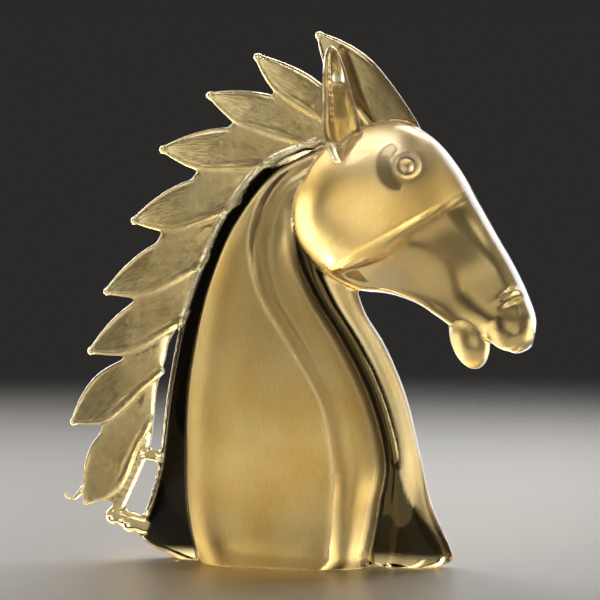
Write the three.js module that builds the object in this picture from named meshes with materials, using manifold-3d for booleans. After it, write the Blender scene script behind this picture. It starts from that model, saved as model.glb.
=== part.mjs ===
// Crystal horse head bust: one solid of hot-worked glass, with the neck, head, ears and
// leaf-shaped mane fused together and the underside ground flat.
// Millimetres, +Z up, nose towards +X, mirror plane XZ, origin at the middle of the underside.
import * as THREE from "three";
import { mergeVertices } from "three/addons/utils/BufferGeometryUtils.js";
import Module from "manifold-3d";

const wasm = await Module();
wasm.setup();

// How finely each form is divided
const NECK_RINGS = 24;
const NECK_BACK_STEPS = 4;
const NECK_PETAL_STEPS = 10;
const NECK_FRONT_STEPS = 6;
const HEAD_RINGS = 22;
const HEAD_STEPS = 14;
const WEB_RINGS = 20;
const WEB_STEPS = 4;
const WEB_SQUARENESS = 3;
const LEAF_RINGS = 10;
const LEAF_SIDES = 10;
const EAR_RINGS = 10;
const EAR_SIDES = 12;
const BALL_SIDES = 12;
const ROD_SIDES = 5;
const ROD_STEPS = 3; // for each point of a rod's path
const WELD = 1e-4; // points closer than this are one

// Neck: crest point and chest point of each station, the half width there, and where the full
// middle of the side, shaped like a petal, ends between them (-1 is the crest, 1 the chest).
// The lowest station is below the floor plane, so the flat cut leaves the foot flares lifted.
const NECK_STATIONS = [
  { crest: [-57, -4], chest: [56, -4], half: 24, petal: [-0.82, 0.63] },
  { crest: [-80, 7], chest: [76.5, 2.5], half: 27.5, petal: [-0.64, 0.49] },
  { crest: [-84, 14], chest: [77, 9.5], half: 29.5, petal: [-0.62, 0.51] },
  { crest: [-78, 32], chest: [67.5, 31], half: 30.5, petal: [-0.7, 0.64] },
  { crest: [-73.5, 50], chest: [62, 54], half: 30.5, petal: [-0.75, 0.74] },
  { crest: [-68.5, 86], chest: [54.5, 84], half: 29, petal: [-0.79, 0.7] },
  { crest: [-61, 123], chest: [44, 109], half: 26.5, petal: [-0.78, 0.58] },
  { crest: [-51, 151], chest: [33, 127], half: 24, petal: [-0.77, 0.4] },
  { crest: [-40, 175], chest: [29, 143], half: 21.5, petal: [-0.73, 0.1] },
  { crest: [-20, 200], chest: [33, 158], half: 19, petal: [-0.7, -0.2] },
  { crest: [8, 213], chest: [41, 172], half: 16, petal: [-0.7, -0.2] },
];
const NECK_FULL = 30.5; // half width at the widest station
const PETAL = { squareness: 3, blend: 0.9 }; // flat in the middle, with a soft line at the channels
// Half thickness of the back of the neck, from its thin edge to the petal
const CREST = { edge: 3.4, root: 9.5, roundness: 8 };
// Rounded bar down the chest, its share of the front channel, and the bottom of that channel
const CHEST_BAR = { half: 9.4, share: 0.42, valley: 5.6, valleyFrom: 0.3 };

// Head: jaw point and nose-line point of each station, with the half width there
const HEAD_STATIONS = [
  { jaw: [-1, 183], nose: [6, 203], half: 11 },
  { jaw: [0, 163], nose: [28, 215], half: 23 },
  { jaw: [14, 146], nose: [50, 220.5], half: 27 },
  { jaw: [30, 137.5], nose: [66, 213.5], half: 27 },
  { jaw: [46, 135.5], nose: [79, 199.5], half: 25 },
  { jaw: [60, 131], nose: [90, 181], half: 22.5 },
  { jaw: [70.5, 124.5], nose: [99.5, 164.5], half: 20.5 },
  { jaw: [80, 118.5], nose: [108, 150], half: 19.5 },
  { jaw: [90, 116], nose: [114.5, 136.5], half: 19 },
  { jaw: [99.5, 111.5], nose: [118.8, 123.5], half: 16 },
  { jaw: [107, 108], nose: [117.5, 112.5], half: 9 },
];
const HEAD_BOX = 2.3; // how square the head's section is: 2 is an ellipse
// The muzzle's flat sides close in from the cheek to the lips
const MUZZLE = { rootHalf: 21, half: 14.6, run: 42 };
const CHEEK_LINE = { from: [17, 146], to: [88, 187] }; // front edge of the cheek, over the muzzle

// Lower lip, eyes and nostrils, one side given
const LOWER_LIP = { at: [86, 114.5], radii: [16, 13, 9.3], lean: -74 };
const UPPER_LIP = { at: [104.6, 122.2], radii: [16, 15.2, 12.5], lean: -48 };
const EYE = { at: [59, 199], out: 21.8, ball: 4.2, socket: 6.4, depth: 2.2 };
const NOSTRIL = { at: [109.5, 134.5], out: 13.6, radii: [5, 3, 2.6], lean: 30 };

// Ears: from a rounded base on the side of the poll to the tip, hollow towards the front
const EAR = { root: [28, 20.5, 199], tip: [18.5, 11.5, 258], half: 9.8, thick: 7.2, hollow: 2 };
const EAR_TAPER = { widest: 0.32, tipShare: 0.4, tipRoundness: 14, least: 0.01, wall: 4 };
const EAR_FACING = [0.72, 0.69];

// Mane: root and tip of each leaf, with its half width across and the share of it at the root
const MANE_LEAVES = [
  { root: [52, 213], tip: [10, 263.5], bow: 2.5, half: 10.8, rootShare: 1 },
  { root: [29, 217], tip: [-22, 253], bow: 0, half: 8.5, rootShare: 0.6 },
  { root: [20, 209], tip: [-46, 234], bow: 2, half: 10, rootShare: 0.6 },
  { root: [2, 205], tip: [-71, 207], bow: 1.5, half: 11, rootShare: 0.6 },
  { root: [-19, 190], tip: [-86.5, 171], bow: 1, half: 11.5, rootShare: 0.6 },
  { root: [-36, 164], tip: [-100.5, 135], bow: 1, half: 11.5, rootShare: 0.6 },
  { root: [-47, 137], tip: [-109.5, 104.5], bow: 1, half: 11.5, rootShare: 0.6 },
  { root: [-75, 101], tip: [-119.5, 68], bow: 1, half: 11.5, rootShare: 0.6 },
  { root: [-84, 74], tip: [-112, 27], bow: 1, half: 12.5, rootShare: 0.6 },
];
const LEAF_THICK = { root: 2.9, full: 4.4, fullAt: 0.5, tip: 1.7, thinning: 3 }; // half thickness
// The two edges of a leaf: share of the half width, where it is widest, how it closes to the tip
const LEAF_UPPER = { share: 0.97, widest: 0.52, close: 1.75 };
const LEAF_LOWER = { share: 1.12, widest: 0.68, close: 1.6 };
// The web behind the leaves, from the crest to the notches between them. Low down it leaves the
// crest, and touches again at a bridge and at the foot
const MANE_WEB = [
  { inner: [40, 212], outer: [36, 238], half: 2.9 },
  { inner: [10, 208], outer: [-9, 236], half: 3.3 },
  { inner: [-17, 197], outer: [-34, 221], half: 3.3 },
  { inner: [-36, 180], outer: [-54, 195], half: 3.3 },
  { inner: [-47, 158], outer: [-71.5, 166], half: 3.3 },
  { inner: [-57, 130], outer: [-86.5, 133], half: 3.3 },
  { inner: [-70.5, 105], outer: [-92.5, 102], half: 3.2 },
  { inner: [-78, 75], outer: [-105, 63], half: 3 },
  { inner: [-82, 53], outer: [-110, 50], half: 2.8 },
  { inner: [-93, 28], outer: [-114, 27.5], half: 2.3 },
];
const MANE_STRIP = {
  path: [[-58, 134], [-69, 117], [-72.5, 103], [-77, 88], [-79, 71], [-82.5, 53], [-97, 21.5]],
  half: 2.7,
};
const MANE_THREAD = { path: [[-112, 37], [-117, 30.5], [-121, 28.2], [-124, 31]], half: 0.9 };
const MANE_KNOB = { at: [-97.5, 20.5], radius: 4.6 };
const BRIDGES = [
  { from: [-82, 52.5], to: [-71, 51], half: 2.9 },
  { from: [-97, 21], to: [-79, 15], half: 4.4 },
];

const GLASS = { colour: 0xd9b66a, roughness: 0.06, metalness: 0 };

const SIDEWAYS = new THREE.Vector3(0, -1, 0); // out of the side with the nose to the right
const FAR_REACH = 400; // larger than the object, for cutting blocks

const inPlane = ([x, z]) => new THREE.Vector3(x, 0, z);
const curveThrough = (points) => new THREE.CatmullRomCurve3(points.map(inPlane));
const { lerp: mix, clamp, smoothstep } = THREE.MathUtils;
const steps = (count, make) => Array.from({ length: count }, (_, i) => make(i / (count - 1)));
const turns = (count, make) =>
  Array.from({ length: count }, (_, i) => make((2 * Math.PI * i) / count));

// A closed geometry through rings of equal point counts, capped by fans at both ends
function loft(rings) {
  const sides = rings[0].length;
  const positions = rings.flat().flatMap((p) => p.toArray());
  const index = [];
  for (let r = 0; r < rings.length - 1; r++) {
    for (let j = 0; j < sides; j++) {
      const a = r * sides + j;
      const b = r * sides + ((j + 1) % sides);
      index.push(a, b, a + sides, b, b + sides, a + sides);
    }
  }
  for (const [r, turned] of [[0, true], [rings.length - 1, false]]) {
    const middle = new THREE.Vector3();
    rings[r].forEach((p) => middle.addScaledVector(p, 1 / sides));
    const hub = positions.length / 3;
    positions.push(...middle.toArray());
    for (let j = 0; j < sides; j++) {
      const a = r * sides + j;
      const b = r * sides + ((j + 1) % sides);
      index.push(...(turned ? [b, a, hub] : [a, b, hub]));
    }
  }
  const geometry = new THREE.BufferGeometry();
  geometry.setAttribute("position", new THREE.Float32BufferAttribute(positions, 3));
  geometry.setIndex(index);
  return geometry;
}

// A geometry as a solid for joining and cutting, turned right side out
function solidOf(geometry) {
  const bare = geometry.clone();
  bare.deleteAttribute("normal");
  bare.deleteAttribute("uv");
  const merged = mergeVertices(bare, WELD);
  const vertProperties = merged.getAttribute("position").array;
  const make = (triVerts) =>
    new wasm.Manifold(new wasm.Mesh({ numProp: 3, vertProperties, triVerts }));
  const triVerts = Uint32Array.from(merged.index.array);
  const made = make(triVerts);
  return made.volume() > 0 ? made : make(triVerts.reverse());
}

// Smooth values along a list of stations: two edge curves and a half width
function alongStations(stations, edgeA, edgeB) {
  const curveA = curveThrough(stations.map((s) => s[edgeA]));
  const curveB = curveThrough(stations.map((s) => s[edgeB]));
  const widths = new THREE.SplineCurve(stations.map((s, i) => new THREE.Vector2(i, s.half)));
  return (t) => ({ a: curveA.getPoint(t), b: curveB.getPoint(t), half: widths.getPoint(t).y });
}

// A ring from one edge point over one side to the other edge and back, through places across
// (-1 is the first edge, 1 the second) where halfAt gives the half width
function ringAcross({ a, b }, places, halfAt) {
  const pointAt = (across, side) => {
    const point = a.clone().lerp(b, (across + 1) / 2);
    point.y = side * halfAt(across);
    return point;
  };
  const over = places.map((across) => pointAt(across, 1));
  const under = places.slice(1, -1).map((across) => pointAt(across, -1));
  return [...over, ...under.reverse()];
}

// Places between two others, closer together towards both ends
const roundPlaces = (from, to, count) =>
  steps(count + 1, (t) => mix(from, to, (1 - Math.cos(Math.PI * t)) / 2));

const roundShare = (across, squareness) =>
  Math.max(0, 1 - Math.abs(across) ** squareness) ** (1 / squareness);

// The neck's section: a full petal between the thin back and the front channel with its bar
function neckHalf(across, half, from, to) {
  const petal = half * roundShare((2 * across - from - to) / (to - from), PETAL.squareness);
  const fromCrest = clamp((across + 1) / (from + 1), 0, 1);
  const edge = Math.sqrt(1 - (1 - fromCrest) ** CREST.roundness);
  const back = mix(CREST.edge, CREST.root, fromCrest) * edge;
  const fromChest = clamp((1 - across) / (1 - to), 0, 1);
  const onBar = clamp(1 - fromChest / CHEST_BAR.share, -1, 1);
  const bar = CHEST_BAR.half * Math.sqrt(1 - onBar ** 2);
  const valley = CHEST_BAR.valley * smoothstep(fromChest, 0, CHEST_BAR.valleyFrom);
  const rim = ((across < (from + to) / 2 ? back : Math.max(bar, valley)) * half) / NECK_FULL;
  const soft = rim > 1 ? PETAL.blend : 0;
  return (petal + rim - soft + Math.hypot(petal - rim, soft)) / 2;
}

function makeNeck() {
  const at = alongStations(NECK_STATIONS, "crest", "chest");
  const petalEdges = new THREE.SplineCurve(NECK_STATIONS.map((s) => new THREE.Vector2(...s.petal)));
  const rings = steps(NECK_RINGS, (t) => {
    const station = at(t);
    const { x: from, y: to } = petalEdges.getPoint(t);
    const places = [
      ...roundPlaces(-1, from, NECK_BACK_STEPS).slice(0, -1),
      ...roundPlaces(from, to, NECK_PETAL_STEPS),
      ...roundPlaces(to, 1, NECK_FRONT_STEPS).slice(1),
    ];
    return ringAcross(station, places, (across) => neckHalf(across, station.half, from, to));
  });
  return solidOf(loft(rings));
}

// The head is one oval form: whole behind the cheek line, and pared to flat sides ahead of it
function makeHead() {
  const at = alongStations(HEAD_STATIONS, "jaw", "nose");
  const rings = steps(HEAD_RINGS, (t) => {
    const station = at(t);
    const halfAt = (across) => station.half * roundShare(across, HEAD_BOX);
    return ringAcross(station, roundPlaces(-1, 1, HEAD_STEPS), halfAt);
  });
  const oval = solidOf(loft(rings));
  const [fromX, fromZ] = CHEEK_LINE.from;
  const [toX, toZ] = CHEEK_LINE.to;
  const behind = new THREE.BoxGeometry(FAR_REACH, FAR_REACH, FAR_REACH);
  behind.translate(0, 0, FAR_REACH / 2);
  const sides = loft(
    [
      [FAR_REACH, MUZZLE.rootHalf],
      [0, MUZZLE.rootHalf],
      [-MUZZLE.run, MUZZLE.half],
      [-FAR_REACH, MUZZLE.half],
    ].map(([z, half]) =>
      [[-1, -1], [1, -1], [1, 1], [-1, 1]].map(
        ([alongLine, side]) => new THREE.Vector3(alongLine * FAR_REACH, side * half, z),
      ),
    ),
  );
  for (const geometry of [behind, sides]) {
    geometry.rotateY(-Math.atan2(toZ - fromZ, toX - fromX));
    geometry.translate(fromX, 0, fromZ);
  }
  const muzzle = oval.intersect(solidOf(sides));
  const cheek = oval.intersect(solidOf(behind));
  return muzzle.add(cheek);
}

// An ellipsoid at a point of the mirror plane, moved out sideways, leaning by an angle
function ellipsoid([x, z], out, [long, half, deep], lean = 0) {
  const geometry = new THREE.SphereGeometry(1, BALL_SIDES, BALL_SIDES / 2);
  geometry.scale(long, half, deep);
  geometry.rotateY(THREE.MathUtils.degToRad(-lean));
  geometry.translate(x, out, z);
  return solidOf(geometry);
}

// A leaf's edge swells from the root to its widest, then runs in to the tip
function leafEdge(along, half, rootShare, { share, widest, close }) {
  const swell = mix(rootShare, 1, smoothstep(along, 0, widest));
  const run = clamp((along - widest) / (1 - widest), 0, 1);
  return LEAF_THICK.tip + (half * share - LEAF_THICK.tip) * swell * (1 - run ** close);
}

function makeLeaf({ root, tip, bow, half, rootShare }) {
  const start = inPlane(root);
  const end = inPlane(tip);
  const upwards = end.clone().sub(start).cross(SIDEWAYS).normalize();
  const pull = start.clone().lerp(end, 0.5).addScaledVector(upwards, 2 * bow);
  const spine = new THREE.QuadraticBezierCurve3(start, pull, end);
  const rings = steps(LEAF_RINGS, (along) => {
    const centre = spine.getPoint(along);
    const edgeWay = spine.getTangent(along).cross(SIDEWAYS).normalize();
    const swollen = mix(LEAF_THICK.root, LEAF_THICK.full, smoothstep(along, 0, LEAF_THICK.fullAt));
    const thick = swollen + (LEAF_THICK.tip - LEAF_THICK.full) * along ** LEAF_THICK.thinning;
    return turns(LEAF_SIDES, (turn) => {
      const across = Math.cos(turn);
      const wide = leafEdge(along, half, rootShare, across > 0 ? LEAF_UPPER : LEAF_LOWER);
      const point = centre.clone().addScaledVector(edgeWay, wide * across);
      point.y += thick * Math.sin(turn);
      return point;
    });
  });
  return solidOf(loft(rings));
}

function makeWeb() {
  const at = alongStations(MANE_WEB, "inner", "outer");
  const rings = steps(WEB_RINGS, (t) => {
    const station = at(t);
    const halfAt = (across) => station.half * roundShare(across, WEB_SQUARENESS);
    return ringAcross(station, roundPlaces(-1, 1, WEB_STEPS), halfAt);
  });
  return solidOf(loft(rings));
}

// A round rod along a path of points in the mirror plane
function makeRod(path, half) {
  const round = new THREE.Shape().absellipse(0, 0, half, half, 0, 2 * Math.PI);
  const extrudePath = curveThrough(path);
  const cut = { steps: ROD_STEPS * path.length, curveSegments: ROD_SIDES, extrudePath };
  return solidOf(new THREE.ExtrudeGeometry(round, cut));
}

// One ear, side -1 or 1: rounded at the base, straight to a round tip, with its edges forward
function makeEar(side) {
  const root = new THREE.Vector3(EAR.root[0], side * EAR.root[1], EAR.root[2]);
  const tip = new THREE.Vector3(EAR.tip[0], side * EAR.tip[1], EAR.tip[2]);
  const axis = tip.clone().sub(root).normalize();
  const open = new THREE.Vector3(EAR_FACING[0], side * EAR_FACING[1], 0);
  open.addScaledVector(axis, -open.dot(axis)).normalize();
  const over = axis.clone().cross(open);
  const { widest, tipShare, tipRoundness, least, wall } = EAR_TAPER;
  const rings = steps(EAR_RINGS, (along) => {
    const below = clamp(1 - along / widest, 0, 1);
    const above = clamp((along - widest) / (1 - widest), 0, 1);
    const closing = (1 - below ** 2) * (1 - along ** tipRoundness);
    const taper = mix(1, tipShare, above) * Math.sqrt(Math.max(least, closing));
    return turns(EAR_SIDES, (turn) => {
      const across = Math.sin(turn);
      const skin = EAR.thick * Math.sqrt(Math.max(0, 1 - across ** wall));
      const forward = EAR.hollow * (across ** 2 - 0.5) + Math.sign(Math.cos(turn)) * skin;
      return root
        .clone()
        .lerp(tip, along)
        .addScaledVector(over, EAR.half * taper * across)
        .addScaledVector(open, forward * taper);
    });
  });
  return solidOf(loft(rings));
}

// Everything below the floor plane, to cut the underside flat
function belowFloor() {
  const block = new THREE.BoxGeometry(FAR_REACH, FAR_REACH, FAR_REACH);
  block.translate(0, 0, -FAR_REACH / 2);
  return solidOf(block);
}

function makeHorseHead() {
  let glass = makeNeck().add(makeHead()).add(makeWeb());
  for (const { at, radii, lean } of [LOWER_LIP, UPPER_LIP]) {
    glass = glass.add(ellipsoid(at, 0, radii, lean));
  }
  for (const leaf of MANE_LEAVES) glass = glass.add(makeLeaf(leaf));
  for (const { path, half } of [MANE_STRIP, MANE_THREAD]) glass = glass.add(makeRod(path, half));
  glass = glass.add(ellipsoid(MANE_KNOB.at, 0, Array(3).fill(MANE_KNOB.radius)));
  for (const { from, to, half } of BRIDGES) glass = glass.add(makeRod([from, to], half));
  for (const side of [-1, 1]) {
    glass = glass.add(makeEar(side));
    const socket = [EYE.socket, EYE.depth, EYE.socket];
    glass = glass.subtract(ellipsoid(EYE.at, side * (EYE.out + EYE.depth / 2), socket));
    glass = glass.add(ellipsoid(EYE.at, side * (EYE.out - EYE.depth), Array(3).fill(EYE.ball)));
    glass = glass.subtract(ellipsoid(NOSTRIL.at, side * NOSTRIL.out, NOSTRIL.radii, NOSTRIL.lean));
  }
  return glass.subtract(belowFloor());
}

function meshOf(solid, name) {
  const made = solid.getMesh();
  const geometry = new THREE.BufferGeometry();
  geometry.setAttribute("position", new THREE.BufferAttribute(made.vertProperties, 3));
  geometry.setIndex(new THREE.BufferAttribute(made.triVerts, 1));
  geometry.computeVertexNormals();
  const material = new THREE.MeshStandardMaterial({
    color: GLASS.colour,
    roughness: GLASS.roughness,
    metalness: GLASS.metalness,
  });
  const mesh = new THREE.Mesh(geometry, material);
  mesh.name = name;
  return mesh;
}

const horseHead = meshOf(makeHorseHead(), "horse_head");
horseHead.geometry.computeBoundingBox();
const box = horseHead.geometry.boundingBox;
const middle = box.getCenter(new THREE.Vector3());
horseHead.position.set(-middle.x, -middle.y, -box.min.z);

const sculpture = new THREE.Group();
sculpture.add(horseHead);
export default sculpture;
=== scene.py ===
import bpy
import bmesh
import math
import numpy as np
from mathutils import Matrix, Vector
from mathutils.kdtree import KDTree


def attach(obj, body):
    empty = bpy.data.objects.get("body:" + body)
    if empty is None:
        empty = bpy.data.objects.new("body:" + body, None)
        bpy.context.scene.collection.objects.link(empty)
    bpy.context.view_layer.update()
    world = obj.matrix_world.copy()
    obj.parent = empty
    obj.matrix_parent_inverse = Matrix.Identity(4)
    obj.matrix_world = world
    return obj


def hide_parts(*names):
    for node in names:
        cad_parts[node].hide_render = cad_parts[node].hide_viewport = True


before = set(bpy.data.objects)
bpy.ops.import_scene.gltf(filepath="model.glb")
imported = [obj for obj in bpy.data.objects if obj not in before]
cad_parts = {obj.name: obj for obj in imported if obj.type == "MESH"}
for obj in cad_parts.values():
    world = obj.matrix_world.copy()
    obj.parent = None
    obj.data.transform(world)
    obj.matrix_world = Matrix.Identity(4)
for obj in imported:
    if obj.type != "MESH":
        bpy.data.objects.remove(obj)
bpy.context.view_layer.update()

mm = 0.001

# Sizes are in millimetres: x towards the nose, z up, y sideways from the mirror plane.
# The mane reaches further back than the nose reaches forward, so x moves by originX at the end.
body = {
    "originX": 2.87,
    "voxel": 0.92,  # grid that fuses the forms into one skin
    "keptShare": 0.55,  # faces kept, since the plain stretches need fewer
    "meltRounds": 9,  # rounds of smoothing, as a flame rounds the joints
    "melt": 0.5,
    "meltBack": -0.52,
    "markedBy": 3,  # points of the forms that each point of the skin takes its marks from
    "markSoft": 0.05,  # mm
    "groundFlat": 0.01,  # mm above the floor up to which a level face counts as ground
    "combed": 0.22,  # how deep the tool marks are, away from the mane
}

forms = []  # every closed form: its points, its faces, and each point's marks
markNames = ("along", "over", "satin", "tintAndShade", "combed", "paintedLight")


def splineThrough(knots, count):
    # a smooth run of values through evenly spaced knots
    knots = np.asarray(knots, float)
    padded = np.vstack([2 * knots[0] - knots[1], knots, 2 * knots[-1] - knots[-2]])
    place = np.linspace(0, len(knots) - 1, count)
    index = np.minimum(place.astype(int), len(knots) - 2)
    f = (place - index)[:, None]
    a, b, c, d = (padded[index + i] for i in range(4))
    return 0.5 * (2 * b + (c - a) * f + (2 * a - 5 * b + 4 * c - d) * f**2
                  + (3 * b - a - 3 * c + d) * f**3)


def smoothStep(low, high, value):
    f = np.clip((value - low) / (high - low), 0, 1)
    return f * f * (3 - 2 * f)


def softMin(a, b, k):
    return 0.5 * (a + b - np.sqrt((a - b) ** 2 + k * k))


def softMax(a, b, k):
    return 0.5 * (a + b + np.sqrt((a - b) ** 2 + k * k)) - 0.5 * k


def roundShare(across, squareness):
    return np.clip(1 - np.abs(across) ** squareness, 0, 1) ** (1 / squareness)


def addForm(points, along, over, satin, tintAndShade=0.0, combed=body["combed"], paintedLight=0.0):
    # rings of points become a closed skin. Along and over run with and across the tool marks, satin is
    # where the polish is matted, the darkening is the glass's deeper tint together with painted shade,
    # the lightening is painted light, combed how deep the marks are
    rings, sides = points.shape[:2]
    first = np.arange(rings - 1)[:, None] * sides + np.arange(sides)
    after = np.arange(rings - 1)[:, None] * sides + (np.arange(sides) + 1) % sides
    quads = np.stack([first, after, after + sides, first + sides], -1).reshape(-1, 4).tolist()
    caps = [list(range(sides))[::-1], list(range((rings - 1) * sides, rings * sides))]
    marks = [np.broadcast_to(m, (rings, sides)) for m in (along, over, satin, tintAndShade, combed, paintedLight)]
    forms.append((points.reshape(-1, 3), quads + caps, np.stack(marks, -1).reshape(-1, len(marks))))


def betweenEdges(edgeA, edgeB, halfAt, sides):
    # rings from edge A over one side to edge B and back over the other
    turn = np.linspace(0, 2 * math.pi, sides, endpoint=False)
    across = -np.cos(turn)[None, :]
    share = ((across + 1) / 2)[..., None]
    flat = edgeA[:, None, :] * (1 - share) + edgeB[:, None, :] * share
    half = halfAt(across, flat[..., 0], flat[..., 1])
    y = np.sign(np.sin(turn))[None, :] * half
    return np.stack([flat[..., 0], y, flat[..., 1]], -1), across


def lengthAlong(path):
    return np.concatenate([[0], np.cumsum(np.linalg.norm(np.diff(path, axis=0), axis=1))])


# Neck: crest x z, chest x z, half width, and the petal's two ends between crest -1 and chest 1
neck = {
    "stations": [
        (-57, -4, 56, -4, 24, -0.82, 0.63),
        (-80, 7, 76.5, 2.5, 27.5, -0.64, 0.49),
        (-84, 14, 77, 9.5, 29.5, -0.62, 0.51),
        (-78, 32, 67.5, 31, 30.5, -0.70, 0.64),
        (-73.5, 50, 62, 54, 30.5, -0.75, 0.74),
        (-68.5, 86, 54.5, 84, 29, -0.79, 0.70),
        (-61, 123, 44, 109, 26.5, -0.78, 0.58),
        (-51, 151, 33, 127, 24, -0.77, 0.40),
        (-40, 175, 29, 143, 21.5, -0.73, 0.10),
        (-20, 200, 33, 158, 19, -0.70, -0.20),
        (8, 213, 41, 172, 16, -0.70, -0.20),
    ],
    "petalSquareness": 3.0,  # flat in the middle, round at the edges
    "crestEdge": 3.4,  # half thickness where the neck thins out to the crest
    "crestRoot": 9.5,  # and where that thin part meets the petal
    "crestRoundness": 8,
    "crestClear": (-1.0, -0.95),  # the very edge of the crest stays free of the channel's painted shade
    "chestBar": 9.4,  # half thickness of the rounded bar down the chest
    "chestBarShare": 0.42,  # how much of the front channel the bar takes up
    "chestValley": 5.6,  # half thickness at the bottom of the front channel
    "valleyFrom": 0.3,
    "valleySoft": 1.0,
    "petalSoft": 0.9,  # mm, how soft the line is where the petal meets a channel
    "petalSoftFrom": 1.0,
    "petalBlend": (-0.02, 0.06),
    "petalAmber": 0.47,
    "barFrom": 0.42,  # where the bar starts across the front channel, high up and at the foot, and the channel's painted shade stops
    "barFromLow": 0.90,
    "barBlend": 0.14,
    # painted light on the chest bar
    "barPaintedLight": 0.2,
    "barTaper": (12, 52),  # mm above the floor between which it narrows
    "footClear": (1.5, 7.0),  # the ground rim at the bottom of the feet is free of the channel's painted shade
    "farPaintedShade": 0.7,  # the front channel's painted shade is lighter on the far side
    # a fold swings down the petal: a fine ridge with a hollow in front of it
    "crease": [0.22, 0.28, 0.31, 0.39, 0.435, 0.38, 0.13, -0.17, -0.42, -0.6, -0.7],
    "ridgeRise": 2.2,
    "ridgeWidth": 1.2,
    "foldDepth": 2.2,
    "foldOff": 4.6,
    "foldWidth": 3.4,
    "ridgePaintedLight": 0.7,  # painted light on the ridge, where it catches the light, and painted shade in the hollow
    "foldPaintedShade": 0.16,
    "rimRise": 2.6,  # a clear bead runs up the crest, over the roots of the mane
    "rimIn": 1.3,
    "rimWidth": 1.0,
    "rimFrom": (14, 30),  # mm above the floor between which it rises
    # painted highlight along the bead
    "rimPaintedLight": 0.9,
    "edgeIn": 1.6,  # the petal's own edges get the ridge's painted highlight too
    "edgeWidth": 1.2,
    "rings": 190,
    "sides": 480,
}


def buildNeck():
    rows = splineThrough(neck["stations"], neck["rings"])
    crest, chest, full = rows[:, 0:2], rows[:, 2:4], rows[:, 4:5]
    petalFrom, petalTo = rows[:, 5:6], rows[:, 6:7]
    crease = splineThrough(np.array(neck["crease"])[:, None], neck["rings"])
    span = np.linalg.norm(chest - crest, axis=1)[:, None]

    def foldShares(across):
        off = (across - crease) * span / 2
        ridge = np.exp(-((off / neck["ridgeWidth"]) ** 2))
        return ridge, np.exp(-(((off - neck["foldOff"]) / neck["foldWidth"]) ** 2))

    def crestRim(across, z):
        off = ((across + 1) * span / 2 - neck["rimIn"]) / neck["rimWidth"]
        return np.exp(-(off**2)) * smoothStep(*neck["rimFrom"], z)

    def halfAt(across, x, z):
        onward = (2 * across - petalFrom - petalTo) / (petalTo - petalFrom)
        petal = roundShare(onward, neck["petalSquareness"])
        fromCrest = np.clip((across + 1) / (petalFrom + 1), 0, 1)
        wedge = neck["crestEdge"] + (neck["crestRoot"] - neck["crestEdge"]) * fromCrest
        wedge = wedge * np.sqrt(1 - (1 - fromCrest) ** neck["crestRoundness"])
        fromChest = np.clip((1 - across) / (1 - petalTo), 0, 1)
        onBar = np.clip(1 - fromChest / neck["chestBarShare"], -1, 1)
        bar = neck["chestBar"] * np.sqrt(np.clip(1 - onBar**2, 0, 1))
        valley = neck["chestValley"] * smoothStep(0, neck["valleyFrom"], fromChest)
        front = softMax(bar, valley, neck["valleySoft"])
        rim = np.where(across < (petalFrom + petalTo) / 2, wedge, front)
        soft = neck["petalSoft"] * (rim > neck["petalSoftFrom"])
        half = softMax(full * petal, rim * full / full.max(), soft)
        ridge, fold = foldShares(across)
        swell = (neck["ridgeRise"] * ridge - neck["foldDepth"] * fold) * petal
        return np.clip(half, 0, None) + swell + neck["rimRise"] * crestRim(across, z)

    points, across = betweenEdges(crest, chest, halfAt, neck["sides"])
    onPetal = (smoothStep(*neck["petalBlend"], across - petalFrom)
               * smoothStep(*neck["petalBlend"], petalTo - across))
    z = points[..., 2]
    low = 1 - smoothStep(*neck["barTaper"], z)
    barFrom = neck["barFrom"] + (neck["barFromLow"] - neck["barFrom"]) * low
    onBar = smoothStep(barFrom, barFrom + neck["barBlend"], (across - petalTo) / (1 - petalTo))
    up = lengthAlong((crest + chest) / 2)[:, None]
    clear = smoothStep(*neck["crestClear"], across) * smoothStep(*neck["footClear"], z)
    # painted shade: the channels either side of the petal are darkened, lighter on the far side
    channel = (1 - onPetal) * (1 - onBar) * clear
    trailed = np.where((points[..., 1] > 0) & (across > petalTo), neck["farPaintedShade"], 1)
    ridge, fold = foldShares(across)
    fromEdge = np.minimum(across - petalFrom, petalTo - across) * span / 2
    edge = np.exp(-(((fromEdge - neck["edgeIn"]) / neck["edgeWidth"]) ** 2))
    ridge = np.maximum(ridge, edge)
    # the petal's tint, taken off along the ridge and edges as painted highlight and deepened in the
    # hollow as painted shade
    petalAmber = neck["petalAmber"] * (1 - ridge) + neck["foldPaintedShade"] * fold
    rim = crestRim(across, z)
    # the channels' painted shade, kept off the bead, together with the petal's tint
    tintAndShade = np.maximum(channel * trailed * (1 - rim), petalAmber * onPetal)
    # painted highlight on the ridge, the edges and the bead, and painted light on the chest bar
    paintedLight = np.maximum(neck["ridgePaintedLight"] * ridge * onPetal, neck["barPaintedLight"] * onBar)
    paintedLight = np.maximum(paintedLight, neck["rimPaintedLight"] * rim)
    addForm(points, up, across * span / 2, np.maximum(onPetal, onBar), tintAndShade, paintedLight=paintedLight)


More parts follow.
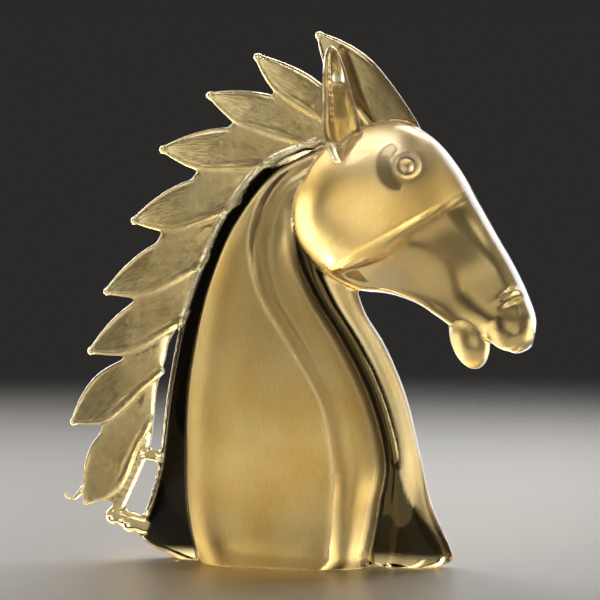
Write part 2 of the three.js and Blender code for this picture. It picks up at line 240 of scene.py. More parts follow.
# Head: jaw x z, nose line x z, half width
head = {
    "stations": [
        (-1, 183, 6, 203, 11),
        (0, 163, 28, 215, 23),
        (14, 146, 50, 220.5, 27),
        (30, 137.5, 66, 213.5, 27),
        (46, 135.5, 79, 199.5, 25),
        (60, 131, 90, 181, 22.5),
        (70.5, 124.5, 99.5, 164.5, 20.5),
        (80, 118.5, 108, 150, 19.5),
        (90, 116, 114.5, 136.5, 19),
        (99.5, 111.5, 118.8, 123.5, 16),
        (107, 108, 117.5, 112.5, 9),
    ],
    "squareness": 2.3,
    "muzzleHalf": 14.6,  # the muzzle's flat sides, near the lips
    "muzzleRoot": 21.0,  # and at the cheek
    "muzzleRun": 42,  # mm over which they close in
    "muzzleSoft": 1.0,
    "cheekFrom": (17, 146),  # front edge of the cheek, over the muzzle
    "cheekTo": (88, 187),
    "cheekSoft": 0.7,
    "muzzleDarkening": 0.66,  # the muzzle is darker than the cheek
    "muzzleSatin": 0.62,  # and clearer, with less of the polish matted
    "tintBlend": 1.0,
    "browPaintedLight": 0.85,  # painted light: the forehead is lighter, which comes in between these two heights
    "browFrom": (185, 212),
    "noseClear": 0.2,  # the nose line is a little more polished
    "noseAcross": (0.60, 0.72),
    "noseAlong": (45, 70),
    "throatAcross": (0.50, 0.66),  # the hollow under the jaw is polished clear
    "throatFrom": (25, 35),
    "throatTo": (62, 75),
    "chinPinch": 0.34,  # how much narrower the muzzle is along the jaw
    "pinchAcross": (0.1, 0.95),
    "lipDome": 2.6,  # how far the end of the upper lip is rounded out
    "domeRings": 8,
    "rings": 170,
    "sides": 140,
}


def buildHead():
    rows = splineThrough(head["stations"], head["rings"])
    jaw, nose, full = rows[:, 0:2], rows[:, 2:4], rows[:, 4:5]
    fromX, fromZ = head["cheekFrom"]
    run = np.array(head["cheekTo"]) - np.array(head["cheekFrom"])
    run = run / np.linalg.norm(run)

    def halfAt(across, x, z):
        oval = full * roundShare(across, head["squareness"])
        behind = (z - fromZ) * run[0] - (x - fromX) * run[1]
        toCheek = smoothStep(-head["muzzleRun"], 0, behind)
        side = head["muzzleHalf"] + (head["muzzleRoot"] - head["muzzleHalf"]) * toCheek
        pinch = 1 - head["chinPinch"] * smoothStep(*head["pinchAcross"], -across)
        muzzle = softMin(oval, side * pinch, head["muzzleSoft"])
        onCheek = smoothStep(-head["cheekSoft"], head["cheekSoft"], behind)
        return np.clip(muzzle, 0, None) * (1 - onCheek) + oval * onCheek

    points, across = betweenEdges(jaw, nose, halfAt, head["sides"])
    # rounded end of the upper lip
    last = points[-1]
    middle = last.mean(axis=0)
    ahead = np.array([(nose[-1] - jaw[-1])[1], 0, -(nose[-1] - jaw[-1])[0]])
    ahead = ahead / np.linalg.norm(ahead)
    turn = np.linspace(0, math.pi / 2, head["domeRings"])[1:-1]
    dome = [middle + (last - middle) * math.cos(a) + ahead * head["lipDome"] * math.sin(a) for a in turn]
    points = np.concatenate([points, np.array(dome)])
    along = lengthAlong((jaw + nose) / 2)
    along = np.concatenate([along, along[-1] + head["lipDome"] * np.sin(turn)])[:, None]
    span = np.linalg.norm(nose - jaw, axis=1)
    span = np.concatenate([span, np.full(len(turn), span[-1])])[:, None]
    noseLine = smoothStep(*head["noseAcross"], across) * smoothStep(*head["noseAlong"], along)
    throat = smoothStep(*head["throatAcross"], -across) * smoothStep(*head["throatFrom"], along)
    throat = throat * (1 - smoothStep(*head["throatTo"], along))
    behind = (points[..., 2] - fromZ) * run[0] - (points[..., 0] - fromX) * run[1]
    onMuzzle = 1 - smoothStep(-head["tintBlend"], head["tintBlend"], behind)
    satin = 1 - (1 - head["muzzleSatin"]) * onMuzzle
    satin = satin * (1 - np.maximum(head["noseClear"] * noseLine, throat))
    # painted light on the forehead
    paintedLight = head["browPaintedLight"] * smoothStep(*head["browFrom"], points[..., 2])
    addForm(points, across * span / 2, along, satin, head["muzzleDarkening"] * onMuzzle, paintedLight=paintedLight)


def buildEllipsoid(centre, radii, lean=0.0, satin=0.0, tintAndShade=0.0, rings=28, sides=36):
    # a ball of glass, leaning in the mirror plane, with a small flat at either end
    flat = 0.04  # radians
    polar = np.linspace(flat, math.pi - flat, rings)[:, None]
    turn = np.linspace(0, 2 * math.pi, sides, endpoint=False)[None, :]
    ball = np.stack([np.cos(polar) * np.ones_like(turn), np.sin(polar) * np.cos(turn),
                     np.sin(polar) * np.sin(turn)], -1) * np.array(radii)
    a = math.radians(lean)
    x = ball[..., 0] * math.cos(a) - ball[..., 2] * math.sin(a)
    z = ball[..., 0] * math.sin(a) + ball[..., 2] * math.cos(a)
    points = np.stack([x, ball[..., 1], z], -1) + np.array(centre)
    addForm(points, ball[..., 0], ball[..., 2], satin, tintAndShade)


def buildRod(path, radii, count=60, sides=20):
    # a drawn rod of glass in the mirror plane, round in section
    centre = splineThrough(path, count)
    radius = splineThrough(np.array(radii, float)[:, None], count)
    run = np.gradient(centre, axis=0)
    run = run / np.linalg.norm(run, axis=1)[:, None]
    side = np.stack([-run[:, 1], run[:, 0]], -1)
    turn = np.linspace(0, 2 * math.pi, sides, endpoint=False)[None, :]
    points = np.stack([
        centre[:, 0:1] + side[:, 0:1] * radius * np.cos(turn),
        radius * np.sin(turn),
        centre[:, 1:2] + side[:, 1:2] * radius * np.cos(turn),
    ], -1)
    addForm(points, lengthAlong(centre)[:, None], radius * np.sin(turn), satin=0.0)


# Mane leaves: root x z, tip x z, bow of the middle, half width, share of it at the root, depth of tint
# (on the first leaf, the forelock, deepened by painted shade), how far the polish is matted
mane = {
    "leaves": [
        (52, 213, 10, 263.5, 2.5, 10.8, 1.0, 0.65, 0.45),
        (29, 217, -22, 253, 0, 8.5, 0.6, 0.48, 0.55),
        (20, 209, -46, 234, 2, 10, 0.6, 0.48, 0.55),
        (2, 205, -71, 207, 1.5, 11, 0.6, 0.48, 0.55),
        (-19, 190, -86.5, 171, 1, 11.5, 0.6, 0.48, 0.55),
        (-36, 164, -100.5, 135, 1, 11.5, 0.6, 0.48, 0.55),
        (-47, 137, -109.5, 104.5, 1, 11.5, 0.6, 0.48, 0.55),
        (-75, 101, -119.5, 68, 1, 11.5, 0.6, 0.48, 0.55),
        (-84, 74, -112, 27, 1, 12.5, 0.6, 0.48, 0.55),
    ],
    "halfThick": 4.4,
    "rootHalf": 2.9,  # thin root, sunk in the web behind the leaves
    "fullAt": 0.5,
    "tipHalf": 1.7,
    "thinning": 3,  # how late the leaf thins to its tip
    "squareness": 6,
    "clearRim": (0.85, 1.0),  # the matting stops short of the edges and the tip
    "upperFull": 0.97,  # half width above and below the spine, and where along the leaf it is widest
    "upperAt": 0.52,
    "upperClose": 1.75,
    "lowerFull": 1.12,
    "lowerAt": 0.68,
    "lowerClose": 1.6,
    "webSatin": 0.55,
    "webAmber": 0.48,
    "combed": 0.9,
    "tipDrop": 2.3,  # round drop left where each tip was pinched off
    "dropRings": 12,
    "dropSides": 16,
    "sway": 1.4,  # how far the tips lean to one side or the other
    "swayTurn": 2.1,  # radians from one leaf's lean to the next
    "rimPlace": -0.80,  # ridge along the lower edge
    "rimWidth": 0.16,
    "rimShare": 0.35,
    "tuckShare": 0.30,  # how much thinner the leaf is at its upper edge
    "tuckAcross": (-0.6, 0.9),
    "leafRings": 70,
    "leafSides": 56,
    # the web behind the leaves: inner x z, outer x z, half thickness
    "web": [
        (40, 212, 36, 238, 2.9),
        (10, 208, -9, 236, 3.3),
        (-17, 197, -34, 221, 3.3),
        (-36, 180, -54, 195, 3.3),
        (-47, 158, -71.5, 166, 3.3),
        (-57, 130, -86.5, 133, 3.3),
        (-70.5, 105, -92.5, 102, 3.2),
        (-78, 75, -105, 63, 3.0),
        (-82, 53, -110, 50, 2.8),
        (-93, 28, -114, 27.5, 2.3),
    ],
    "webSquareness": 3,
    "webRings": 160,
    "webSides": 60,
    "strip": [(-58, 134), (-69, 117), (-72.5, 103), (-77, 88), (-79, 71), (-82.5, 53), (-97, 21.5)],
    "stripHalf": [2.9, 2.7, 2.6, 2.6, 2.6, 2.7, 3.4],
    "thread": [(-112, 37), (-117, 30.5), (-121, 28.2), (-124, 31)],
    "threadHalf": [1.8, 1.3, 1.0, 1.2],
    "bridge": [(-82, 52.5), (-71, 51)],
    "bridgeHalf": [3.2, 3.2],
    "link": [(-97, 21), (-88, 18), (-79, 15)],
    "linkHalf": [3.8, 4.8, 4.6],
    "knobs": [(-97.5, 20.5, 4.6), (-88.5, 17.5, 5.4)],
}


def leafEdge(u, full, widest, close, rootShare):
    # a leaf's edge swells from the root to its widest, then runs in to the tip
    swell = rootShare + (1 - rootShare) * smoothStep(0, widest, u)
    run = np.clip((u - widest) / (1 - widest), 0, 1)
    return mane["tipHalf"] + (full - mane["tipHalf"]) * swell * (1 - run**close)


def buildLeaf(number, rootX, rootZ, tipX, tipZ, bow, half, rootShare, tintAndShade, matted):
    u = np.linspace(0, 1, mane["leafRings"])[:, None]
    root, tip = np.array([rootX, rootZ], float), np.array([tipX, tipZ], float)
    run = (tip - root) / np.linalg.norm(tip - root)
    up = np.array([run[1], -run[0]])
    pull = (root + tip) / 2 + up * 2 * bow
    spine = (1 - u) ** 2 * root + 2 * u * (1 - u) * pull + u**2 * tip
    way = np.gradient(spine, axis=0)
    way = way / np.linalg.norm(way, axis=1)[:, None]
    edge = np.stack([way[:, 1], -way[:, 0]], -1)
    upper, lower = (leafEdge(u, half * mane[e + "Full"], mane[e + "At"], mane[e + "Close"], rootShare)
                    for e in ("upper", "lower"))
    toTip = u ** mane["thinning"]
    thick = mane["rootHalf"] + (mane["halfThick"] - mane["rootHalf"]) * smoothStep(0, mane["fullAt"], u)
    thick = thick + (mane["tipHalf"] - mane["halfThick"]) * toTip
    turn = np.linspace(0, 2 * math.pi, mane["leafSides"], endpoint=False)[None, :]
    across = np.cos(turn)
    wide = np.where(across > 0, upper, lower)
    rim = mane["rimShare"] * np.exp(-(((across - mane["rimPlace"]) / mane["rimWidth"]) ** 2))
    tuck = mane["tuckShare"] * smoothStep(*mane["tuckAcross"], across)
    share = np.sqrt(1 - across ** mane["squareness"]) * (1 + (rim - tuck) * (1 - toTip))
    sway = mane["sway"] * math.sin(mane["swayTurn"] * number) * u**2
    points = np.stack([
        spine[:, 0:1] + edge[:, 0:1] * wide * across,
        np.sign(np.sin(turn)) * thick * share + sway,
        spine[:, 1:2] + edge[:, 1:2] * wide * across,
    ], -1)
    inside = 1 - smoothStep(*mane["clearRim"], np.abs(across))
    satin = matted * inside * (1 - smoothStep(*mane["clearRim"], u))
    addForm(points, lengthAlong(spine)[:, None], across * wide, satin, tintAndShade, mane["combed"])
    drop = mane["tipDrop"]
    buildEllipsoid((tipX, float(sway[-1, 0]), tipZ), (drop, drop, drop),
                   rings=mane["dropRings"], sides=mane["dropSides"])


def buildMane():
    for number, leaf in enumerate(mane["leaves"]):
        buildLeaf(number, *leaf)
    rows = splineThrough(mane["web"], mane["webRings"])

    def halfAt(across, x, z):
        return rows[:, 4:5] * roundShare(across, mane["webSquareness"])

    points, across = betweenEdges(rows[:, 0:2], rows[:, 2:4], halfAt, mane["webSides"])
    span = np.linalg.norm(rows[:, 2:4] - rows[:, 0:2], axis=1)[:, None]
    addForm(points, across * span / 2, lengthAlong(rows[:, 0:2])[:, None], mane["webSatin"],
            mane["webAmber"], mane["combed"])
    for name in ("strip", "thread", "bridge", "link"):
        buildRod(mane[name], mane[name + "Half"])
    for x, z, radius in mane["knobs"]:
        buildEllipsoid((x, 0, z), (radius, radius, radius))


ear = {
    "root": (28, 20.5, 199),
    "tip": (18.5, 11.5, 258),
    "half": 9.8,
    "thick": 7.2,
    "hollow": 2.0,  # how far the two edges stand forward of the middle
    "widest": 0.32,
    "tipShare": 0.40,  # width at the tip, as a share of the widest
    "tipRoundness": 14,
    "leastShare": 0.01,
    "wallSquareness": 4,
    "facing": (0.72, 0.69),  # the hollow side looks forwards and outwards
    "markRun": 55,  # mm of tool marks from the root to the tip
    "satin": 0.5,
    # painted light: the ear is lightened to the palest tint
    "paintedLight": 1.0,
    "rings": 60,
    "sides": 48,
}


def buildEar(side):
    root = np.array(ear["root"]) * (1, side, 1)
    tip = np.array(ear["tip"]) * (1, side, 1)
    axis = (tip - root) / np.linalg.norm(tip - root)
    front = np.array([ear["facing"][0], side * ear["facing"][1], 0])
    front = front - axis * front.dot(axis)
    front = front / np.linalg.norm(front)
    over = np.cross(axis, front)
    u = np.linspace(0, 1, ear["rings"])[:, None]
    turn = np.linspace(0, 2 * math.pi, ear["sides"], endpoint=False)[None, :]
    below = np.clip(1 - u / ear["widest"], 0, 1)
    above = np.clip((u - ear["widest"]) / (1 - ear["widest"]), 0, 1)
    closing = (1 - below**2) * (1 - u ** ear["tipRoundness"])
    taper = (1 - (1 - ear["tipShare"]) * above) * np.sqrt(np.clip(closing, ear["leastShare"], 1))
    across = np.sin(turn)
    skin = ear["thick"] * np.sqrt(np.clip(1 - across ** ear["wallSquareness"], 0, 1))
    forward = ear["hollow"] * (across**2 - 0.5) + np.sign(np.cos(turn)) * skin
    points = (root + (tip - root) * u[..., None]
              + over * (ear["half"] * taper * across)[..., None]
              + front * (forward * taper)[..., None])
    addForm(points, u * ear["markRun"], across * ear["half"], ear["satin"], paintedLight=ear["paintedLight"])


face = {
    "lipAt": (86.0, 0, 114.5),
    "lipRadii": (16, 13.0, 9.3),
    "lipLean": -74,
    "lipAmber": 0.55,
    "lipSatin": 0.9,
    "muzzleAt": (104.6, 0, 122.2),  # round end of the upper lip
    "muzzleRadii": (16.0, 15.2, 12.5),
    "muzzleLean": -48,
    "eyeAt": (59, 21.8, 199),
    "eyeWay": (0.30, 0.90, 0.32),  # square to the cheek where the eye is stamped
    "eyeBall": 3.6,
    "eyeRise": 2.0,
    "grooveAt": 4.4,
    "grooveWidth": 1.1,
    "grooveDepth": 2.2,
    "socketAt": 11.6,  # a shallow socket curls round behind the eye
    "socketWidth": 4.6,
    "socketDepth": 0.4,
    "socketWay": 160,  # degrees from the nostril slit's way, and how far it curls either way
    "socketCurl": 76,
    "socketBlend": (0.6, 1.0),
    "socketEnd": (0.85, 0.95),
    "socketLeast": 0.01,
    "socketShade": 0.95,  # painted shade in the pressed marks and on the eyeball
    "eyeShade": 0.9,
    "ballShade": 0.3,
    "ballBlend": (0.7, 1.2),
    "browAt": 7.0,
    "browWidth": 1.6,
    "browRise": 0.3,
    "nostrilAt": (109.5, 14.0, 134.5),
    "nostrilWay": (0.45, 0.80, 0.40),
    "pressRun": (0.85, 0.0, 0.50),  # the way the nostril slit runs
    "pressDeep": 9.0,  # how far the tool works, into the glass and sideways
    "pressReach": 18.0,
    "nostrilLong": 4.6,
    "nostrilWide": 1.7,
    "nostrilDepth": 2.8,
    "lidAt": 2.9,
    "lidWide": 1.4,
    "lidRise": 1.5,
}


def pressed(co, profiles):
    # eyes and nostrils are pressed into both sides of the soft glass with a small tool
    total = np.zeros(len(co))
    for side in (-1, 1):
        for name, profile in profiles.items():
            offset = co - np.array(face[name + "At"]) * (1, side, 1)
            axis = np.array(face[name + "Way"]) * (1, side, 1)
            axis = axis / np.linalg.norm(axis)
            run = np.array(face["pressRun"])
            run = run - axis * run.dot(axis)
            run = run / np.linalg.norm(run)
            along = offset @ run
            over = offset @ np.cross(run, axis) * side
            near = np.abs(offset @ axis) < face["pressDeep"]
            near = near & (np.hypot(along, over) < face["pressReach"])
            total = total + np.where(near, profile(along, over), 0)
    return total


def socketShare(along, over):
    # a crescent, widest behind the eye
    turn = np.abs((np.degrees(np.arctan2(over, along)) - face["socketWay"] + 180) % 360 - 180)
    turn = turn / face["socketCurl"]
    width = face["socketWidth"] * np.sqrt(np.clip(1 - turn**2, face["socketLeast"], 1))
    beyond = np.abs(np.hypot(along, over) - face["socketAt"]) / width
    return (1 - smoothStep(*face["socketBlend"], beyond)) * (1 - smoothStep(*face["socketEnd"], turn))


def eyeProfile(along, over):
    radius = np.hypot(along, over)
    socket = face["socketDepth"] * socketShare(along, over)
    ball = face["eyeRise"] * np.clip(1 - (radius / face["eyeBall"]) ** 2, 0, 1)
    groove = face["grooveDepth"] * np.exp(-(((radius - face["grooveAt"]) / face["grooveWidth"]) ** 2))
    brow = face["browRise"] * np.exp(-(((radius - face["browAt"]) / face["browWidth"]) ** 2))
    return ball - groove + brow - socket


def nostrilProfile(along, over):
    # a slit under a raised lid
    long = np.exp(-((along / face["nostrilLong"]) ** 2))
    dent = face["nostrilDepth"] * np.exp(-((over / face["nostrilWide"]) ** 2))
    lid = face["lidRise"] * np.exp(-(((over - face["lidAt"]) / face["lidWide"]) ** 2))
    return long * (lid - dent)


# painted shade: darker in the eye's groove and socket, and over its ball
def eyeShade(along, over):
    radius = np.hypot(along, over)
    ring = face["eyeShade"] * np.exp(-(((radius - face["grooveAt"]) / face["grooveWidth"]) ** 2))
    ball = face["ballShade"] * (1 - smoothStep(*face["ballBlend"], radius / face["grooveAt"]))
    return ring + ball + face["socketShade"] * socketShare(along, over)


# painted shade in the nostril slit
def nostrilShade(along, over):
    off = (along / face["nostrilLong"]) ** 2 + (over / face["nostrilWide"]) ** 2
    return face["eyeShade"] * np.exp(-off)


def modified(mesh, kind, **settings):
    # the mesh with one modifier applied
    holder = bpy.data.objects.new("holder", mesh)
    bpy.context.collection.objects.link(holder)
    modifier = holder.modifiers.new(kind.lower(), kind)
    for name, value in settings.items():
        setattr(modifier, name, value)
    depsgraph = bpy.context.evaluated_depsgraph_get()
    made = bpy.data.meshes.new_from_object(holder.evaluated_get(depsgraph))
    bpy.data.objects.remove(holder)
    bpy.data.meshes.remove(mesh)
    return made


def meltTogether():
    # all forms become one skin
    points = np.concatenate([f[0] for f in forms])
    faces, base = [], 0
    for formPoints, formFaces, _ in forms:
        faces += [[base + i for i in f] for f in formFaces]
        base += len(formPoints)
    mesh = bpy.data.meshes.new("forms")
    mesh.from_pydata(points * mm, [], faces)
    return modified(mesh, "REMESH", mode="VOXEL", voxel_size=body["voxel"] * mm)


def readPoints(mesh):
    co = np.empty(len(mesh.vertices) * 3)
    mesh.vertices.foreach_get("co", co)
    return co.reshape(-1, 3) / mm


def writePoints(mesh, co):
    mesh.vertices.foreach_set("co", (co * mm).ravel())
    mesh.update()


def meltSmooth(mesh):
    # smoothing out and back rounds the joints, as the flame did, and keeps the size
    co = readPoints(mesh)
    ends = np.empty(len(mesh.edges) * 2, dtype=np.int64)
    mesh.edges.foreach_get("vertices", ends)
    a, b = ends.reshape(-1, 2).T
    count = (np.bincount(a, minlength=len(co)) + np.bincount(b, minlength=len(co)))[:, None]
    for _ in range(body["meltRounds"]):
        for pull in (body["melt"], body["meltBack"]):
            total = np.stack([
                np.bincount(a, co[b, k], len(co)) + np.bincount(b, co[a, k], len(co)) for k in range(3)
            ], -1)
            co = co + pull * (total / count - co)
    writePoints(mesh, co)


def readNormals(mesh):
    normal = np.empty(len(mesh.vertices) * 3)
    mesh.vertex_normals.foreach_get("vector", normal)
    return normal.reshape(-1, 3)


def grindUnderside(mesh):
    # the underside is ground off flat at floor level
    bm = bmesh.new()
    bm.from_mesh(mesh)
    everything = bm.verts[:] + bm.edges[:] + bm.faces[:]
    cut = bmesh.ops.bisect_plane(bm, geom=everything, dist=1e-6, plane_co=(0, 0, 0),
                                 plane_no=(0, 0, 1), clear_inner=True)
    rimEdges = [e for e in cut["geom_cut"] if isinstance(e, bmesh.types.BMEdge)]
    bmesh.ops.holes_fill(bm, edges=rimEdges)
    bmesh.ops.recalc_face_normals(bm, faces=bm.faces[:])
    for f in bm.faces:
        f.smooth = f.calc_center_median().z > body["groundFlat"] * mm
    bm.to_mesh(mesh)
    bm.free()
    mesh.update()


def markSkin(mesh):
    # each point of the skin takes the marks of the form nearest to it
    points = np.concatenate([f[0] for f in forms])
    marks = np.concatenate([f[2] for f in forms])
    tree = KDTree(len(points))
    for i, p in enumerate(points):
        tree.insert(p, i)
    tree.balance()
    co = readPoints(mesh)
    found = np.empty((len(co), marks.shape[1]))
    for i, p in enumerate(co):
        near = tree.find_n(p, body["markedBy"])
        weight = np.array([1 / (n[2] + body["markSoft"]) for n in near])
        found[i] = (marks[[n[1] for n in near]] * weight[:, None]).sum(0) / weight.sum()
    skin = dict(zip(markNames, found.T))
    # painted shade in the eyes and nostrils deepens the darkening
    shade = pressed(co, {"eye": eyeShade, "nostril": nostrilShade})
    skin["tintAndShade"] = np.maximum(skin["tintAndShade"], shade)
    flow = np.stack([skin.pop("along"), skin.pop("over"), np.zeros(len(co))], -1) * mm
    grain = mesh.attributes.new("grain", "FLOAT_VECTOR", "POINT")
    grain.data.foreach_set("vector", flow.ravel())
    for name, values in skin.items():
        mesh.attributes.new(name, "FLOAT", "POINT").data.foreach_set("value", values)


def hexColour(code):
    # an sRGB hex code as linear red, green, blue and alpha
    parts = [int(code[i:i + 2], 16) / 255 for i in (0, 2, 4)]
    return tuple(c / 12.92 if c <= 0.04045 else ((c + 0.055) / 1.055) ** 2.4 for c in parts) + (1,)


def addNode(tree, kind, settings=None, links=None):
    # one node: settings name its properties or sockets, links name a socket and what feeds it.
    # A socket that shares its name with another goes by its number
    node = tree.nodes.new(kind)
    for name, value in (settings or {}).items():
        if isinstance(name, str) and hasattr(node, name):
            setattr(node, name, value)
        else:
            node.inputs[name].default_value = value
    for name, source in (links or {}).items():
        tree.links.new(source, node.inputs[name])
    return node


# Champagne crystal: gathered, shaped hot and fire-polished. It is clear right through with a
# warm gold tint that deepens with thickness, and hair-fine tool marks leave a faint satin.
# Its colour also holds painted shade in the channels, the fold, the forelock and the pressed marks, and
# painted light on the ridges, the bead, the chest bar, the forehead and the ears.
crystal = {
    "clearTint": "EFDBA2",
    # the colour that the painted light lightens to
    "paintedLightTint": "FBF0D0",
    "goldTint": "E9C774",
    "milkTint": "F5E1A2",
    "driftSize": 30.0,  # mm across one milky cloud
    "driftRange": (0.42, 0.68),
    "strokeTint": "7E602A",
    "darkTintAndShade": "0C0802",  # the deepest tint of the glass, and of the painted shade
    "depthColour": "D8B468",
    "depthDensity": 7.0,
    "ior": 1.52,
    "glaze": 0.25,  # fire polish that stays glossy over the satin
    "polish": 0.015,
    "satin": 0.36,
    "markLong": 6.0,  # mm along one tool mark
    "markWide": 0.7,  # mm between marks, drawn coarser than real so that they show
    "markHeight": 0.12,  # mm
    "strokeRange": (0.62, 0.38),
}


def crystalMaterial():
    material = bpy.data.materials.new("champagne_crystal")
    material.use_nodes = True
    tree = material.node_tree
    tree.nodes.clear()

    grain, satin, combed, paintedLight, tintAndShade = (
        addNode(tree, "ShaderNodeAttribute", {"attribute_name": name}).outputs
        for name in ("grain", "satin", "combed", "paintedLight", "tintAndShade"))
    # tool marks: fine strokes that follow each form
    spread = (1 / (crystal["markLong"] * mm), 1 / (crystal["markWide"] * mm), 1)
    stretch = addNode(tree, "ShaderNodeMapping", {"Scale": spread}, {"Vector": grain["Vector"]})
    strokes = addNode(tree, "ShaderNodeTexNoise", {"Scale": 1.0, "Detail": 2.0, "Roughness": 0.6},
                      {"Vector": stretch.outputs["Vector"]})
    bump = addNode(tree, "ShaderNodeBump", {"Distance": crystal["markHeight"] * mm},
                   {"Height": strokes.outputs["Fac"], "Strength": combed["Fac"]})
    gloss = addNode(tree, "ShaderNodeMapRange",
                    {"To Min": crystal["polish"], "To Max": crystal["satin"]}, {"Value": satin["Fac"]})
    low, high = crystal["strokeRange"]
    between = addNode(tree, "ShaderNodeMapRange", {"From Min": low, "From Max": high},
                      {"Value": strokes.outputs["Fac"]})
    shaded = addNode(tree, "ShaderNodeMath", {"operation": "MULTIPLY"},
                     {0: between.outputs["Result"], 1: combed["Fac"]})
    # milky clouds through the gold
    place = addNode(tree, "ShaderNodeTexCoord")
    drift = addNode(tree, "ShaderNodeTexNoise", {"Scale": 1 / (crystal["driftSize"] * mm), "Detail": 3.0},
                    {"Vector": place.outputs["Object"]})
    low, high = crystal["driftRange"]
    cloud = addNode(tree, "ShaderNodeMapRange", {"From Min": low, "From Max": high},
                    {"Value": drift.outputs["Fac"]})
    # from the plain gold, through painted light, to the tint and painted shade of the darkest channels:
    # what each blend goes by, then its two colours, where None is the tint so far
    blends = (
        (cloud.outputs["Result"], "goldTint", "milkTint"),
        (shaded.outputs["Value"], None, "strokeTint"),
        (satin["Fac"], "clearTint", None),
        (paintedLight["Fac"], None, "paintedLightTint"),
        (tintAndShade["Fac"], None, "darkTintAndShade"),
    )
    tint = None
    for share, first, second in blends:
        colours = {6: first, 7: second}  # the sockets that hold the two colours
        plain = {socket: hexColour(crystal[name]) for socket, name in colours.items() if name}
        soFar = {socket: tint for socket, name in colours.items() if not name}
        mix = addNode(tree, "ShaderNodeMix", {"data_type": "RGBA", **plain}, {0: share, **soFar})
        tint = mix.outputs[2]
    glass = addNode(tree, "ShaderNodeBsdfPrincipled", {
        "Transmission Weight": 1.0,
        "IOR": crystal["ior"],
        "Coat Weight": crystal["glaze"],
        "Coat Roughness": crystal["polish"],
    }, {"Base Color": tint, "Roughness": gloss.outputs["Result"], "Normal": bump.outputs["Normal"]})
    depth = addNode(tree, "ShaderNodeVolumeAbsorption", {
        "Color": hexColour(crystal["depthColour"]),
        "Density": crystal["depthDensity"],
    })
    addNode(tree, "ShaderNodeOutputMaterial", None,
            {"Surface": glass.outputs["BSDF"], "Volume": depth.outputs["Volume"]})
    return material


def buildHorseHead():
    buildNeck()
    buildHead()
    buildMane()
    for side in (-1, 1):
        buildEar(side)
    for name, tintAndShade in (("lip", face["lipAmber"]), ("muzzle", head["muzzleDarkening"])):
        buildEllipsoid(face[name + "At"], face[name + "Radii"], face[name + "Lean"],
                       face["lipSatin"], tintAndShade)
    print("forms:", len(forms))
    mesh = meltTogether()
    meltSmooth(mesh)
    co = readPoints(mesh)
    rise = pressed(co, {"eye": eyeProfile, "nostril": nostrilProfile})
    writePoints(mesh, co + readNormals(mesh) * rise[:, None])
    mesh = modified(mesh, "DECIMATE", ratio=body["keptShare"])
    grindUnderside(mesh)
    markSkin(mesh)
    writePoints(mesh, readPoints(mesh) + np.array([body["originX"], 0, 0]))
    mesh.name = "crystal_horse_head"
    mesh.materials.clear()
    mesh.materials.append(crystalMaterial())
    piece = bpy.data.objects.new("crystal_horse_head", mesh)
    bpy.context.collection.objects.link(piece)
    print("skin:", len(mesh.vertices), "points,", len(mesh.polygons), "faces")
    return piece


horse = buildHorseHead()
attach(horse, "root")
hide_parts("horse_head")

# Pale board: painted and rubbed down, which gives an even ground with only a soft reflection.
# Sizes and places here are in metres.
studio = {
    "floorRadius": 1.3,
    "floorSides": 96,
    "floorRoughness": 0.45,
    "floorColour": "C4C0B9",
    "floorFade": (0.10, 1.25),  # metres from the object where the board falls away into the dark
    "horizonColour": "2B2A29",
    "horizonAt": 0.05,
    "zenithColour": "151515",
    "zenithAt": 0.75,
    "flagged": ("top_strip", "front_top", "key"),  # kept off the floor by flags
    "warmLamp": "FFE9BC",
    # softboxes: place, aim, width, height, power
    "softboxes": {
        "back_mid": ((-0.15, 0.75, 0.66), (0.0, 0.0, 0.25), 1.2, 0.66, 3.4),
        "back_left": ((-0.85, 0.72, 0.40), (0.0, 0.0, 0.15), 0.6, 0.8, 9),
        "back_right": ((0.48, 0.78, 0.40), (0.0, 0.0, 0.15), 0.6, 0.8, 6.5),
        "back_card": ((-0.37, 1.50, 0.06), (0.0, 0.0, 0.13), 0.9, 0.7, 0.8),
        "head_card": ((-0.20, 1.40, 0.19), (0.0, 0.0, 0.18), 0.36, 0.3, 0.5),
        "back_low": ((0.10, 0.32, 0.004), (0.10, 0.32, 1.0), 0.45, 0.3, 0.8),
        "top_strip": ((0.10, 0.50, 0.85), (0.05, 0.0, 0.20), 0.5, 0.3, 12),
        "front_top": ((0.15, -0.6, 1.0), (0.05, 0.0, 0.20), 0.5, 0.4, 13),
        "key": ((-0.55, -0.9, 1.1), (0.0, 0.0, 0.16), 0.35, 0.35, 9),
    },
}


def buildFloor():
    bm = bmesh.new()
    bmesh.ops.create_circle(bm, cap_ends=True, segments=studio["floorSides"],
                            radius=studio["floorRadius"])
    mesh = bpy.data.meshes.new("floor")
    bm.to_mesh(mesh)
    bm.free()
    floor = bpy.data.objects.new("floor", mesh)
    bpy.context.collection.objects.link(floor)
    material = bpy.data.materials.new("pale_board")
    material.use_nodes = True
    tree = material.node_tree
    tree.nodes.clear()
    place = addNode(tree, "ShaderNodeTexCoord")
    reach = addNode(tree, "ShaderNodeVectorMath", {"operation": "LENGTH"}, {0: place.outputs["Object"]})
    near, far = studio["floorFade"]
    fade = addNode(tree, "ShaderNodeMapRange",
                   {"interpolation_type": "SMOOTHSTEP", "From Min": near, "From Max": far},
                   {"Value": reach.outputs["Value"]})
    board = addNode(tree, "ShaderNodeBsdfPrincipled", {
        "Base Color": hexColour(studio["floorColour"]),
        "Roughness": studio["floorRoughness"],
    })
    clear = addNode(tree, "ShaderNodeBsdfTransparent")
    mix = addNode(tree, "ShaderNodeMixShader", None,
                  {0: fade.outputs["Result"], 1: board.outputs["BSDF"], 2: clear.outputs["BSDF"]})
    addNode(tree, "ShaderNodeOutputMaterial", None, {"Surface": mix.outputs["Shader"]})
    mesh.materials.append(material)


def aimAt(obj, place, target):
    obj.location = place
    obj.rotation_euler = (Vector(target) - Vector(place)).to_track_quat("-Z", "Y").to_euler()


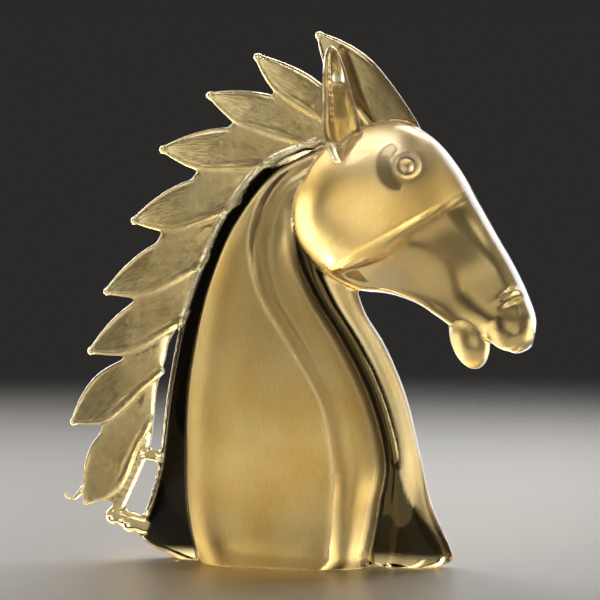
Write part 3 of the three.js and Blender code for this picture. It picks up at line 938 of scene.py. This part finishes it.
def buildLights():
    subject = bpy.data.collections.new("subject")
    subject.objects.link(horse)
    for name, (place, target, width, height, power) in studio["softboxes"].items():
        light = bpy.data.lights.new(name, "AREA")
        light.shape = "RECTANGLE"
        light.size, light.size_y, light.energy = width, height, power
        lamp = bpy.data.objects.new(name, light)
        bpy.context.collection.objects.link(lamp)
        aimAt(lamp, place, target)
        lamp.visible_camera = False
        if name in studio["flagged"]:
            light.color = hexColour(studio["warmLamp"])[:3]
            lamp.light_linking.receiver_collection = subject
    world = bpy.data.worlds.new("studio")
    world.use_nodes = True
    tree = world.node_tree
    tree.nodes.clear()
    way = addNode(tree, "ShaderNodeTexCoord")
    split = addNode(tree, "ShaderNodeSeparateXYZ", None, {"Vector": way.outputs["Generated"]})
    blend = addNode(tree, "ShaderNodeValToRGB", None, {"Fac": split.outputs["Z"]})
    for stop, name in zip(blend.color_ramp.elements, ("horizon", "zenith")):
        stop.color = hexColour(studio[name + "Colour"])
        stop.position = studio[name + "At"]
    sky = addNode(tree, "ShaderNodeBackground", None, {"Color": blend.outputs["Color"]})
    addNode(tree, "ShaderNodeOutputWorld", None, {"Surface": sky.outputs["Background"]})
    bpy.context.scene.world = world


camera = {
    "azimuth": 14.0,
    "distance": 1.35,
    "aim": (0.0029, 0.0, 0.1318),
    "height": 0.200,
    "frameWidth": 0.300,  # metres across the picture at the object
    "sensor": 36.0,  # mm
}


def buildCamera():
    data = bpy.data.cameras.new("camera")
    data.sensor_width = camera["sensor"]
    data.lens = camera["sensor"] * camera["distance"] / camera["frameWidth"]
    cam = bpy.data.objects.new("camera", data)
    bpy.context.collection.objects.link(cam)
    a = math.radians(camera["azimuth"])
    rise = camera["height"] - camera["aim"][2]
    flat = math.sqrt(camera["distance"] ** 2 - rise**2)
    place = Vector(camera["aim"]) + Vector((math.sin(a) * flat, -math.cos(a) * flat, rise))
    aimAt(cam, place, camera["aim"])
    bpy.context.scene.camera = cam


buildFloor()
buildLights()
buildCamera()
scene = bpy.context.scene
scene.cycles.max_bounces = 32
scene.cycles.transmission_bounces = 28
scene.cycles.glossy_bounces = 12
scene.cycles.sample_clamp_indirect = 6.0
scene.cycles.use_denoising = True
scene.view_settings.view_transform = "Standard"
print("studio ready")
